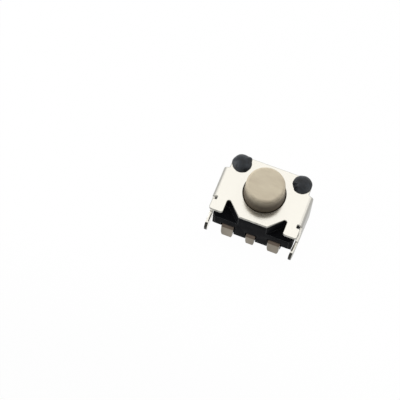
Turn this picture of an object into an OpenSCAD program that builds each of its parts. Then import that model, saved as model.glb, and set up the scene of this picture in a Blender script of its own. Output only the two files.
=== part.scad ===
// Side-push tactile switch for surface mounting, lying on its back with the button upwards.
// Origin: on the back face, on the button's axis. +Z is the button's axis, +X runs along the
// width, and the terminals leave towards -Y, the side that is soldered to the board.

/* [Cover] */
// Overall width over the two side wings
over_w = 6.2; // [6.1:0.05:6.6]
// Depth from the back of the housing to the outer face of the plate
case_d = 3.62; // [3.5:0.02:3.8]
// Thickness of the cover's sheet
sheet_t = 0.2; // [0.15:0.01:0.22]
// Inner radius of the bend between the plate and a wing
bend_r = 0.14; // [0.08:0.01:0.15]
// Distance from the button's axis up to the upper edge of the plate
plate_top = 2.03; // [2:0.01:2.1]
// Distance from the outer face of a wing in to the plate's edge beside a post
ear_inset = 0.36; // [0.35:0.01:0.4]
// Radius of the plate's rounded upper corners
corner_r = 0.6; // [0.4:0.01:0.62]
// Distance from the button's axis to the plate's middle lower edge
plate_low = 2.2; // [2.15:0.01:2.3]
// Half length of the plate's middle lower edge
centre_half = 0.97; // [0.7:0.01:1.1]
// Distance from the button's axis to the tips of the notches
apex_low = 1.31; // [1.29:0.01:1.4]
// Radius of the rounded tip of a notch
apex_r = 0.14; // [0.08:0.01:0.16]
// Distance from the button's axis to the lower edge of the corner tabs
tab_low = 2.3; // [2.2:0.01:2.4]
// Width of the corner tabs
tab_w = 0.95; // [0.9:0.01:1]
// Distance from the outer face of a wing in to the outer edge of a tab
tab_inset = 0.09; // [0.05:0.01:0.15]
// Radius of the corners of a tab
tab_r = 0.17; // [0.05:0.01:0.2]
// Height of the relief cut between a wing and a tab
relief_h = 0.26; // [0.15:0.01:0.3]
// Depth of the relief cut, measured in from the outer face of the wing
relief_in = 0.36; // [0.35:0.01:0.4]
// Distance from the button's axis up to the upper end of a wing
wing_top = 0.9; // [0.6:0.01:1]
// Distance from the button's axis down to the lower edge of a wing
wing_low = 1.3; // [1.2:0.01:1.32]
// Height of the shoulder in front of a leg, below the wing's lower edge
shoulder_h = 0.3; // [0.1:0.01:0.4]
// Length of the shoulder along the depth
shoulder_l = 0.35; // [0.2:0.01:0.6]
// Distance from the back face to the rear edge of a wing
wing_back = 0.6; // [0.4:0.01:0.7]

/* [Locating legs] */
// Width of a leg along the depth
leg_w = 1; // [0.8:0.01:1.1]
// Distance from the button's axis down to the tips of the legs
leg_low = 2.7; // [2.5:0.01:3]
// Radius of the rounded corners at the end of a leg
leg_tip_r = 0.42; // [0.2:0.01:0.45]

/* [Button] */
// Radius of the button where it leaves the plate
button_r = 1.37; // [1.3:0.01:1.42]
// Radius of the button's flat end
button_end_r = 1.265; // [1.1:0.005:1.29]
// Height of the button above the plate
button_h = 1.35; // [0.8:0.05:2]
// Radius of the rounded edge round the button's end
button_edge = 0.13; // [0.05:0.01:0.2]
// Gap between the button and the hole in the plate
button_gap = 0.045; // [0.03:0.005:0.07]
// Radius of the flange that keeps the button behind the plate
flange_r = 1.72; // [1.65:0.01:1.78]
// Thickness of the flange
flange_t = 0.3; // [0.2:0.01:0.32]
// Radius of the nub that presses on the spring
nub_r = 0.45; // [0.3:0.01:0.6]
// Travel of the button, which the dome gives way by
travel = 0.25; // [0.2:0.01:0.27]

/* [Housing] */
// Clearance between the housing and the inner face of a wing
side_gap = 0.2; // [0.14:0.01:0.22]
// Distance from the button's axis to the housing's upper face
house_top = 1.86; // [1.7:0.01:1.95]
// Distance from the button's axis to the face on the board's side
house_low = 2.2; // [2.1:0.01:2.25]
// Chamfer of the outer edges on the board's side
low_cham = 0.2; // [0.1:0.01:0.25]
// Chamfer of the upper corners, along the width
top_cham_x = 0.48; // [0.3:0.01:0.5]
// Chamfer of the upper corners, along the height
top_cham_y = 0.9; // [0.5:0.01:0.92]
// Chamfer of the rear corners, along the width
back_cham_x = 0.56; // [0.3:0.01:0.65]
// Chamfer of the rear corners, along the depth
back_cham_z = 0.7; // [0.4:0.01:0.8]
// Distance from the button's axis to the bottom of the side pockets
pocket_y = 1.28; // [1.25:0.01:1.35]
// Distance from the button's axis to the face of the rest behind a tab
rest_y = 1.62; // [1.45:0.01:1.8]
// Depth of the rest behind a tab
rest_d = 0.62; // [0.4:0.01:0.8]
// Drop of the stepped rear corners below the face on the board's side
step_h = 0.5; // [0.3:0.01:0.6]
// Length of the stepped rear corners from the back face
step_z = 0.97; // [0.8:0.01:1.05]
// Chamfer over the stepped rear corners, along the height
step_cham_y = 0.2; // [0.1:0.01:0.3]
// Chamfer over the stepped rear corners, along the depth
step_cham_z = 0.42; // [0.3:0.01:0.5]
// Wall between a stepped corner and the slot beside it
step_wall = 0.1; // [0.05:0.01:0.15]
// Radius of the round cavity for the button's flange
cavity_r = 1.84; // [1.82:0.01:1.88]
// Depth of the cavity behind the plate
cavity_d = 1; // [0.95:0.01:1.05]
// Slope at the rear of the board side, along the height
slope_y = 1.2; // [1.1:0.01:1.3]
// Slope at the rear of the board side, along the depth
slope_z = 0.62; // [0.6:0.01:0.7]

/* [Riveted posts] */
// Distance from the outer face of a wing in to the axis of a post
post_inset = 1.01; // [1:0.01:1.05]
// Distance from the button's axis up to the posts
post_y = 1.47; // [1.4:0.01:1.5]
// Radius of a post
post_r = 0.32; // [0.25:0.01:0.4]
// Gap between a post and its hole in the plate
post_gap = 0.02; // [0.01:0.01:0.04]
// Radius of a riveted head
head_r = 0.66; // [0.6:0.01:0.68]
// Height of the upright rim of a head
head_rim = 0.06; // [0.04:0.01:0.1]
// Height of the domed part of a head
head_dome = 0.3; // [0.2:0.01:0.35]

/* [Terminals] */
// Distance between the middles of neighbouring terminals
pitch = 1.615; // [1.6:0.005:1.63]
// Width of the two outer terminals
outer_w = 0.83; // [0.7:0.01:0.86]
// Width of the middle terminal
centre_w = 0.62; // [0.5:0.01:0.7]
// Thickness of the terminals' sheet
term_t = 0.2; // [0.15:0.01:0.22]
// Distance from the button's axis to the flats that are soldered
flat_y = 2.32; // [2.3:0.01:2.42]
// Depth of the outer terminals' front face behind the plate's outer face
outer_z = 2.05; // [2:0.01:2.1]
// Depth of the middle terminal's front face behind the plate's outer face
centre_z = 2.3; // [2.25:0.01:2.35]
// Inner radius of the terminals' bends
term_r = 0.05; // [0.03:0.01:0.08]
// Distance of the terminals' rear face from the back face
rear_gap = 0.02; // [0.01:0.01:0.03]
// Angle that the rear ends of the terminals curl up by
curl_a = 55; // [40:1:70]
// Length of the straight bit after the curl
curl_l = 0.08; // [0.05:0.01:0.1]
// Radius of the corners of the terminals' rear ends, seen square to the flats
curl_r = 0.16; // [0.05:0.01:0.2]
// Gap between a terminal and the sides of its slot
slot_gap = 0.09; // [0.05:0.01:0.12]
// Gap between a terminal's flat and the sides of its channel
channel_gap = 0.03; // [0.02:0.01:0.05]
// Gap between a terminal's front face and its slot
slot_front = 0.32; // [0.2:0.01:0.35]
// Distance from the button's axis to the bottom of the slots
slot_y = 1.36; // [1.3:0.01:1.5]
// Distance from the button's axis to the rising part inside the wall
riser_y = 1.15; // [1.05:0.01:1.2]
// Length of the rim contacts beyond the button's axis
pad_y = 0.5; // [0.3:0.01:0.8]
// Height of the rim contacts above the cavity's floor
pad_rise = 0.02; // [0.01:0.01:0.04]
// Radius of the middle contact
contact_r = 0.36; // [0.3:0.01:0.45]
// Height of the middle contact above the cavity's floor
contact_h = 0.1; // [0.05:0.01:0.11]
// Depth of the middle terminal below the cavity's floor
centre_sink = 0.25; // [0.2:0.01:0.3]

/* [Spring] */
// Radius of the snap dome
dome_r = 1.5; // [1.4:0.01:1.6]
// Height of the dome's inner face above the rim contacts when it is pressed
dome_left = 0.08; // [0.07:0.01:0.09]
// Thickness of the dome
dome_t = 0.05; // [0.04:0.01:0.07]
// Gap between the nub and the dome at rest
nub_gap = 0.015; // [0.01:0.005:0.03]

/* [Hidden] */
$fn = 72;
// Overlap that lets a cut run past a face
cut = 0.5;
// Levels along the depth, measured from the back face
plate_in = case_d - sheet_t;
floor_z = plate_in - cavity_d;
bend_out = bend_r + sheet_t;
wing_out = over_w / 2;
flat_half = wing_out - bend_out;
tab_out = wing_out - tab_inset;
tab_in = tab_out - tab_w;
ear_out = wing_out - ear_inset;
post_x = wing_out - post_inset;
leg_front = wing_back + leg_w;
// Running gap between the flange and the plate
flange_gap = 0.03;
flange_top = plate_in - flange_gap;
pad_top = floor_z + pad_rise;
dome_h = travel + dome_left;
dome_top = pad_top + dome_h + dome_t;
hole_r = button_r + button_gap;
house_half = wing_out - sheet_t - side_gap;
// Middle of a notch's rounded tip, and the slanted side that runs into it
apex_x = tab_in - apex_r;
apex_y = apex_low + apex_r;
slant_span = norm([apex_x - centre_half, plate_low - apex_y]);
slant_a = atan2(plate_low - apex_y, apex_x - centre_half) + asin(apex_r / slant_span);
slant_l = sqrt(slant_span * slant_span - apex_r * apex_r);

// Quarter of a bent strip: centre at the origin, in the quadrant of positive x and y
module bend_quarter(r_in, t) {
  intersection() {
    difference() {
      circle(r = r_in + t);
      circle(r = r_in);
    }
    square(r_in + t);
  }
}

// Cuts the notch beside a corner tab out of the plate's right half
module notch_2d() {
  polygon([
    [centre_half - cut, -plate_low - cut * tan(slant_a)],
    [centre_half + slant_l * cos(slant_a), -plate_low + slant_l * sin(slant_a)],
    [apex_x, -apex_y],
    [tab_in, -apex_y],
    [tab_in, -plate_low - cut * tan(slant_a)]
  ]);
  translate([apex_x, -apex_y]) circle(r = apex_r, $fn = 48);
}

// Corner tab with rounded lower corners, in the plate's right half
module tab_2d() {
  top = -wing_low - relief_h;
  difference() {
    translate([tab_in, -tab_low]) square([tab_out - tab_in, top + tab_low]);
    for (x = [tab_in, tab_out]) translate([x, -tab_low]) square(2 * tab_r, center = true);
  }
  for (x = [tab_in + tab_r, tab_out - tab_r]) {
    translate([x, -tab_low + tab_r]) circle(r = tab_r, $fn = 32);
  }
}

// Right half of the flat plate
module plate_half_2d() {
  difference() {
    union() {
      translate([0, -plate_low]) square([tab_in, plate_low]);
      square([ear_out - corner_r, plate_top]);
      square([ear_out, plate_top - corner_r]);
      translate([ear_out - corner_r, plate_top - corner_r]) circle(r = corner_r);
      translate([0, -wing_low]) square([flat_half, wing_low + wing_top]);
      translate([tab_in, -wing_low - relief_h - tab_r])
        square([wing_out - relief_in - tab_in, wing_low + relief_h + tab_r]);
      tab_2d();
    }
    notch_2d();
    circle(r = hole_r);
    translate([post_x, post_y]) circle(r = post_r + post_gap);
  }
}

// Cross-section of the right wing and its bend, in x and z
module wing_2d() {
  translate([flat_half, plate_in - bend_r]) bend_quarter(bend_r, sheet_t);
  translate([wing_out - sheet_t, wing_back]) square([sheet_t, plate_in - bend_r - wing_back]);
}

// Right leg, its end rounded in side view
module leg() {
  translate([wing_out - sheet_t, 0, 0]) rotate([90, 0, 90]) linear_extrude(sheet_t) {
    translate([-leg_low + leg_tip_r, wing_back]) square([leg_low - leg_tip_r - wing_low + sheet_t, leg_w]);
    translate([-leg_low, wing_back + leg_tip_r]) square([leg_tip_r + sheet_t, leg_w - 2 * leg_tip_r]);
    for (z = [wing_back + leg_tip_r, leg_front - leg_tip_r]) {
      translate([-leg_low + leg_tip_r, z]) circle(r = leg_tip_r);
    }
  }
}

module cover_half() {
  translate([0, 0, plate_in]) linear_extrude(sheet_t) plate_half_2d();
  translate([0, wing_top, 0]) rotate([90, 0, 0]) linear_extrude(wing_top + wing_low) wing_2d();
  translate([wing_out - sheet_t, -wing_low - shoulder_h, leg_front])
    cube([sheet_t, shoulder_h + sheet_t, shoulder_l]);
  leg();
}

module cover_frame() {
  color([0.86, 0.84, 0.79]) {
    cover_half();
    mirror([1, 0, 0]) cover_half();
  }
}

// Side view of a terminal outside the housing, in y and z, for a front face at z = front
module strip_2d(front) {
  out = term_r + term_t;
  // Level where the flat ends and its rear end starts to curl up
  curl_z = rear_gap + out * sin(curl_a) + curl_l * cos(curl_a);
  translate([-flat_y + out, front - out]) mirror([1, 0]) bend_quarter(term_r, term_t);
  translate([-flat_y, curl_z]) square([term_t, front - curl_z - out]);
  translate([-flat_y + out, front - term_t]) square([flat_y - out - riser_y + term_t, term_t]);
  translate([-flat_y + out, curl_z]) {
    intersection() {
      rotate(180) bend_quarter(term_r, term_t);
      polygon([[0, 0], [-out, 0], [-out, -out * tan(curl_a)]]);
    }
    rotate(curl_a) translate([-out, -curl_l]) square([term_t, curl_l]);
  }
}

// Outer terminal: rim contact, riser inside the wall, soldered flat and curled rear end
module outer_strip_2d() {
  front = case_d - outer_z;
  strip_2d(front);
  translate([-riser_y, front - term_t]) square([term_t, pad_top - front + term_t]);
  translate([-riser_y, pad_top - term_t]) square([riser_y + pad_y, term_t]);
}

module centre_strip_2d() {
  front = case_d - centre_z;
  run_z = floor_z - centre_sink;
  strip_2d(front);
  translate([-riser_y, front - term_t]) square([term_t, run_z - front + term_t]);
  translate([-riser_y, run_z - term_t]) square([riser_y + contact_r, term_t]);
}

// Extrudes a side view in y and z along x, centred on x
module along_x(w) {
  rotate([90, 0, 90]) translate([0, 0, -w / 2]) linear_extrude(w) children();
}

// Outline of a terminal of width w square to its flat, with rounded rear corners
module rear_corners(w) {
  rotate([90, 0, 0]) linear_extrude(2 * flat_y + cut, center = true) {
    translate([-w / 2, rear_gap + curl_r]) square([w, case_d]);
    translate([-w / 2 + curl_r, rear_gap]) square([w - 2 * curl_r, case_d]);
    for (x = [-w / 2 + curl_r, w / 2 - curl_r]) translate([x, rear_gap + curl_r]) circle(r = curl_r);
  }
}

module outer_terminal() {
  intersection() {
    along_x(outer_w) outer_strip_2d();
    rear_corners(outer_w);
  }
}

module terminal_right() {
  color([0.8, 0.78, 0.73]) translate([pitch, 0, 0]) outer_terminal();
}

module terminal_left() {
  color([0.8, 0.78, 0.73]) translate([-pitch, 0, 0]) outer_terminal();
}

module terminal_centre() {
  run_z = floor_z - centre_sink;
  color([0.8, 0.78, 0.73]) {
    intersection() {
      along_x(centre_w) centre_strip_2d();
      rear_corners(centre_w);
    }
    translate([0, 0, run_z - term_t]) cylinder(r = contact_r, h = term_t + centre_sink + contact_h);
  }
}

// Cross-section of the housing behind the pockets, in x and y
module block_2d() {
  right = [
    [house_half - low_cham, -house_low], [house_half, -house_low + low_cham],
    [house_half, house_top - top_cham_y], [house_half - top_cham_x, house_top]
  ];
  left = [for (k = [len(right) - 1:-1:0]) [-right[k][0], right[k][1]]];
  polygon(concat(right, left));
}

// Side pocket in the right half: follows the slanted edge of the plate's notch
module pocket_2d() {
  rise = plate_low - pocket_y;
  polygon([
    [centre_half - cut, -plate_low - cut * tan(slant_a)],
    [centre_half + rise / tan(slant_a), -pocket_y],
    [house_half + cut, -pocket_y],
    [house_half + cut, -plate_low - cut * tan(slant_a)]
  ]);
}

// Slot that a terminal of width w with its front face at z = front leaves through, and the
// shallow channel its flat lies in
module slot(w, front) {
  translate([-w / 2 - slot_gap, -house_low - cut, front - term_t])
    cube([w + 2 * slot_gap, house_low + cut - slot_y, term_t + slot_front]);
  channel = flat_y - term_t - term_r;
  translate([-w / 2 - channel_gap, -house_low - cut, -cut])
    cube([w + 2 * channel_gap, house_low + cut - channel, front + cut]);
}

// Rear corner on the right: the housing's rear chamfer and its stepped board side
module rear_corner() {
  rotate([-90, 0, 0]) translate([0, 0, -house_low - cut])
    linear_extrude(house_low + house_top + 2 * cut)
      polygon([
        [house_half - back_cham_x, 0], [house_half - back_cham_x, cut], [house_half + cut, cut],
        [house_half + cut, -back_cham_z], [house_half, -back_cham_z]
      ]);
  edge = pitch + outer_w / 2 + slot_gap + step_wall;
  translate([edge + over_w / 2, 0, 0]) along_x(over_w) polygon([
    [-house_low - cut, -cut], [-house_low + step_h, -cut], [-house_low + step_h, step_z],
    [-house_low + step_cham_y, step_z], [-house_low, step_z + step_cham_z],
    [-house_low - cut, step_z + step_cham_z]
  ]);
}

// Slope that cuts the housing's lower rear edge along its whole width
module rear_slope() {
  along_x(2 * (house_half + cut)) polygon([
    [-house_low, slope_z], [-house_low - cut, slope_z], [-house_low - cut, -cut],
    [-house_low + slope_y, -cut], [-house_low + slope_y, 0]
  ]);
}

// Post with its riveted head, on the housing's front face
module post() {
  cap_r = (head_r * head_r + head_dome * head_dome) / (2 * head_dome);
  translate([0, 0, plate_in - cut]) cylinder(r = post_r, h = sheet_t + cut + head_rim);
  translate([0, 0, case_d]) rotate_extrude() {
    square([head_r, head_rim]);
    intersection() {
      translate([0, head_rim + head_dome - cap_r]) circle(r = cap_r);
      translate([0, head_rim]) square([head_r, head_dome]);
    }
  }
}

module base_housing() {
  color([0.16, 0.17, 0.19]) difference() {
    union() {
      linear_extrude(plate_in) block_2d();
      for (s = [-1, 1]) translate([s * post_x, post_y, 0]) post();
    }
    for (s = [0, 1]) mirror([s, 0, 0]) {
      difference() {
        translate([0, 0, floor_z]) linear_extrude(cavity_d + cut) pocket_2d();
        translate([tab_in, -rest_y, plate_in - rest_d])
          cube([house_half - tab_in, rest_y, rest_d]);
        translate([post_x, post_y, plate_in]) cylinder(r = head_r + cut, h = cavity_d);
      }
      rear_corner();
    }
    translate([0, 0, floor_z]) cylinder(r = cavity_r, h = cavity_d + cut);
    for (x = [-pitch, pitch]) translate([x, 0, 0]) slot(outer_w, case_d - outer_z);
    slot(centre_w, case_d - centre_z);
    rear_slope();
    for (x = [-pitch, pitch]) translate([x, 0, 0]) outer_terminal();
    terminal_centre();
  }
}

module push_button() {
  z_end = case_d + button_h;
  // Angle and slope of the button's tapered side
  slope = (button_r - button_end_r) / button_h;
  lean = atan(slope);
  edge_z = z_end - button_edge;
  edge_x = button_end_r + slope * button_edge - button_edge / cos(lean);
  color([0.72, 0.67, 0.58]) {
    rotate_extrude() {
      polygon([
        [0, flange_top - flange_t], [button_r, flange_top - flange_t], [button_r, case_d],
        [edge_x + button_edge * cos(lean), edge_z + button_edge * sin(lean)],
        [edge_x, edge_z], [edge_x, z_end], [0, z_end]
      ]);
      translate([edge_x, edge_z]) circle(r = button_edge);
      translate([0, flange_top - flange_t]) square([flange_r, flange_t]);
    }
    translate([0, 0, dome_top + nub_gap])
      cylinder(r = nub_r, h = flange_top - dome_top - nub_gap);
  }
}

// Thin round dome on the rim contacts: the band between two arcs with one centre
module snap_dome() {
  sphere_r = (dome_r * dome_r + dome_h * dome_h) / (2 * dome_h);
  color([0.75, 0.74, 0.7]) rotate_extrude() intersection() {
    translate([0, pad_top + dome_h - sphere_r]) difference() {
      circle(r = sphere_r + dome_t, $fn = 360);
      circle(r = sphere_r, $fn = 360);
    }
    translate([0, pad_top]) square([dome_r, dome_h + dome_t]);
  }
}

base_housing();
cover_frame();
push_button();
snap_dome();
terminal_left();
terminal_centre();
terminal_right();
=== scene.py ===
"""Looks of the side-push tactile switch: fine meshes, finishes, light and camera.

All sizes are in millimetres in the classes below and are scaled to metres when a piece is made.
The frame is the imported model's: z along the button's axis, y towards the plate's riveted edge.
"""

from __future__ import annotations

import logging
import math
from collections.abc import Sequence
from dataclasses import dataclass, field
from enum import Enum

import bmesh
import bpy
from mathutils import Matrix, Vector, noise

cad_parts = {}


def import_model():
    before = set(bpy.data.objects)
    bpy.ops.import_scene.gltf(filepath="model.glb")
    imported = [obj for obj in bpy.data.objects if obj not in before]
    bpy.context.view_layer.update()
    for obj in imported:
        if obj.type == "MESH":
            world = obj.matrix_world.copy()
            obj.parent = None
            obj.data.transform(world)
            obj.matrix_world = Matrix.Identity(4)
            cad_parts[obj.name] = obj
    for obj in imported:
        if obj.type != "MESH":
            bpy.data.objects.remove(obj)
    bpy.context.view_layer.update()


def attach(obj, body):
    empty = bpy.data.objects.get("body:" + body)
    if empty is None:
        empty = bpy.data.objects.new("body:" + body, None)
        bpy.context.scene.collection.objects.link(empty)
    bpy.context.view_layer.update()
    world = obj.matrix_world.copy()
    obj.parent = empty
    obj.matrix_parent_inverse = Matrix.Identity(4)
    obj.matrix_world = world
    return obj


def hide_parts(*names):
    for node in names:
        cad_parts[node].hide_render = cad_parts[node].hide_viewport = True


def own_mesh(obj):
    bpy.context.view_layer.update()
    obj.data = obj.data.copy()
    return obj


MM = 0.001
NEAR = 1e-6
PATCH_LIMITS = (0.35, 0.65)
WEAR_AND_HIGHLIGHT_LIMITS = (0.52, 0.64)
LOG = logging.getLogger("switch")

Point = tuple[float, float]
Span = tuple[float, float]
Triple = tuple[float, float, float]
Limits = tuple[float, float, float, float]
Loop = list[Point]
Inputs = dict[str | int, object]
Mesh = bmesh.types.BMesh
Object = bpy.types.Object
Socket = bpy.types.NodeSocket
Station = tuple[float, Vector, Vector]


class Body(Enum):
    """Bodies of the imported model."""

    SWITCH = "switch_body"
    BUTTON = "button"


class Slot(Enum):
    """Material slots of the record."""

    HOUSING = "housing_plastic"
    COVER = "cover_metal"
    BUTTON = "button_plastic"
    DOME = "dome_metal"
    TERMINAL = "terminal_metal"


# Outlines


def arc(centre: Point, radius: float, start: float, end: float, steps: int) -> Loop:
    """Points along an arc.

    Args:
        centre: middle of the arc.
        radius: radius of the arc.
        start: first angle in degrees.
        end: last angle in degrees.
        steps: number of segments.

    Returns:
        The points, both ends included.
    """
    angles = (math.radians(start + (end - start) * i / steps) for i in range(steps + 1))
    return [(centre[0] + radius * math.cos(a), centre[1] + radius * math.sin(a)) for a in angles]


def mirrored(loop: Loop) -> Loop:
    """The loop mirrored in x, in reverse order, so that both join to one closed loop."""
    return [(-x, y) for x, y in reversed(loop)]


def without_doubles(loop: Loop) -> Loop:
    """Drops points that lie on the one before them.

    Args:
        loop: closed loop.

    Returns:
        The loop without doubles.
    """
    kept: Loop = []
    for point in loop:
        if not kept or math.dist(point, kept[-1]) > NEAR:
            kept.append(point)
    if math.dist(kept[0], kept[-1]) <= NEAR:
        kept.pop()
    return kept


def inset(loop: Loop, distance: float, sharpest: float = 0.35) -> Loop:
    """Moves every point of a closed loop to its left by a distance, measured square to the edges.

    Args:
        loop: closed loop without doubles.
        distance: how far the edges move.
        sharpest: least cosine of half a corner's turn that is still followed.

    Returns:
        The moved loop, with as many points.
    """
    moved: Loop = []
    for i, point in enumerate(loop):
        before = (Vector(point) - Vector(loop[i - 1])).normalized()
        after = (Vector(loop[(i + 1) % len(loop)]) - Vector(point)).normalized()
        left = Vector((-before.y, before.x))
        middle = (left + Vector((-after.y, after.x))).normalized()
        reach = distance / max(sharpest, middle.dot(left))
        moved.append((point[0] + middle.x * reach, point[1] + middle.y * reach))
    return moved


# Meshes


def to_object(bm: Mesh, name: str, scale: float = 1.0) -> Object:
    """Turns a mesh into a linked scene object.

    Args:
        bm: the mesh in millimetres, freed here.
        name: name of the object.
        scale: what its sizes are multiplied by.

    Returns:
        The object.
    """
    bmesh.ops.transform(bm, matrix=Matrix.Scale(scale, 4), verts=bm.verts)
    mesh = bpy.data.meshes.new(name)
    bm.to_mesh(mesh)
    bm.free()
    piece = bpy.data.objects.new(name, mesh)
    bpy.context.scene.collection.objects.link(piece)
    return piece


def join(whole: Mesh, part: Mesh) -> None:
    """Moves the faces of one mesh into another.

    Args:
        whole: the mesh that takes them.
        part: the mesh that gives them, freed here.
    """
    mesh = bpy.data.meshes.new("part")
    part.to_mesh(mesh)
    part.free()
    whole.from_mesh(mesh)
    bpy.data.meshes.remove(mesh)


def smooth_faces(bm: Mesh, angle: float = 32.0) -> None:
    """Shades all faces smooth and marks the edges sharper than an angle.

    Args:
        bm: the mesh.
        angle: angle in degrees above which an edge stays sharp.
    """
    for face in bm.faces:
        face.smooth = True
    limit = math.radians(angle)
    for edge in bm.edges:
        if len(edge.link_faces) == 2 and edge.calc_face_angle(0.0) > limit:
            edge.smooth = False


def face_out(bm: Mesh) -> None:
    """Turns the faces of a closed mesh outwards.

    Args:
        bm: the mesh.
    """
    bmesh.ops.recalc_face_normals(bm, faces=bm.faces)
    if bm.calc_volume(signed=True) < 0:
        bmesh.ops.reverse_faces(bm, faces=bm.faces)


def lathe(profile: Loop, steps: int) -> Mesh:
    """Turns a profile of radius and height round z.

    Args:
        profile: points from the axis to the axis, or a closed ring that never meets it.
        steps: segments round the axis.

    Returns:
        The turned mesh in millimetres.
    """
    bm = bmesh.new()
    angles = [math.tau * i / steps for i in range(steps)]
    rings: list[list[bmesh.types.BMVert]] = []
    for r, z in profile:
        spots = [(0.0, 0.0)] if r < NEAR / 10 else [(r * math.cos(a), r * math.sin(a)) for a in angles]
        rings.append([bm.verts.new((x, y, z)) for x, y in spots])
    pairs = list(zip(rings, rings[1:]))
    if len(rings[0]) > 1 and len(rings[-1]) > 1:
        pairs.append((rings[-1], rings[0]))
    for low, high in pairs:
        for i in range(steps):
            j = (i + 1) % steps
            corners = [low[i % len(low)], low[j % len(low)], high[j % len(high)], high[i % len(high)]]
            unique = list(dict.fromkeys(corners))
            if len(unique) > 2:
                bm.faces.new(unique)
    face_out(bm)
    return bm


@dataclass
class SheetBlank:
    """A flat stamped blank with rounded edges, cut for bending and then bent.

    The blank lies at z from 0, its outer face, down to minus its thickness.
    """

    thickness: float
    outer: Loop
    holes: list[Loop] = field(default_factory=list)
    edge_round: float = 0.03
    edge_steps: int = 3

    def _rims(self, loop: Loop) -> list[tuple[Loop, float]]:
        """Rings of the rounded edge of one loop, from the outer face to the inner one.

        Args:
            loop: outline with the material on its left.

        Returns:
            Loops, each with its height.
        """
        r = self.edge_round
        turns = [(math.cos(math.radians(a)), math.sin(math.radians(a)))
                 for a in (90 * i / self.edge_steps for i in range(self.edge_steps + 1))]
        outer = [(inset(loop, r * (1 - s)), -r * (1 - c)) for c, s in turns]
        return outer + [(inset(loop, r * (1 - c)), -self.thickness + r * (1 - s)) for c, s in turns]

    def build(self) -> Mesh:
        """Builds the flat blank.

        Returns:
            The closed mesh; faces of the rim have material index 1.
        """
        bm = bmesh.new()
        caps: list[list[bmesh.types.BMEdge]] = [[], []]
        for raw in [self.outer, *self.holes]:
            loop = without_doubles(raw)
            rings = [[bm.verts.new((x, y, h)) for x, y in ring] for ring, h in self._rims(loop)]
            count = len(loop)
            for low, high in zip(rings, rings[1:]):
                for i in range(count):
                    j = (i + 1) % count
                    bm.faces.new((low[i], low[j], high[j], high[i])).material_index = 1
            for cap, ring in zip(caps, (rings[0], rings[-1])):
                for i in range(count):
                    edge = bm.edges.get((ring[i], ring[(i + 1) % count]))
                    edge.smooth = False
                    cap.append(edge)
        for cap in caps:
            made = bmesh.ops.triangle_fill(bm, use_beauty=True, use_dissolve=False, edges=cap)
            for face in (f for f in made["geom"] if isinstance(f, bmesh.types.BMFace)):
                face.material_index = 0
        face_out(bm)
        for face in bm.faces:
            face.smooth = True
        return bm


def cut_lines(bm: Mesh, axis: int, places: Sequence[float]) -> None:
    """Cuts a mesh along planes square to an axis, so that it can bend there.

    Args:
        bm: the mesh.
        axis: 0 for x, 1 for y.
        places: coordinates of the planes.
    """
    normal = Vector((1, 0, 0)) if axis == 0 else Vector((0, 1, 0))
    for place in places:
        geometry = list(bm.verts) + list(bm.edges) + list(bm.faces)
        bmesh.ops.bisect_plane(bm, geom=geometry, dist=NEAR, plane_co=normal * place, plane_no=normal)


def bend_places(start: float, length: float, steps: int, guard: float = 0.02) -> list[float]:
    """Cuts over a bend, with one more just outside each end.

    Args:
        start: where the bend begins.
        length: its length in the flat.
        steps: number of segments.
        guard: how far outside the bend the last cuts are.

    Returns:
        Coordinates of the cuts.
    """
    inner = [start + length * i / steps for i in range(steps + 1)]
    return [start - guard, *inner, start + length + guard]


# Shader nodes


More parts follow.
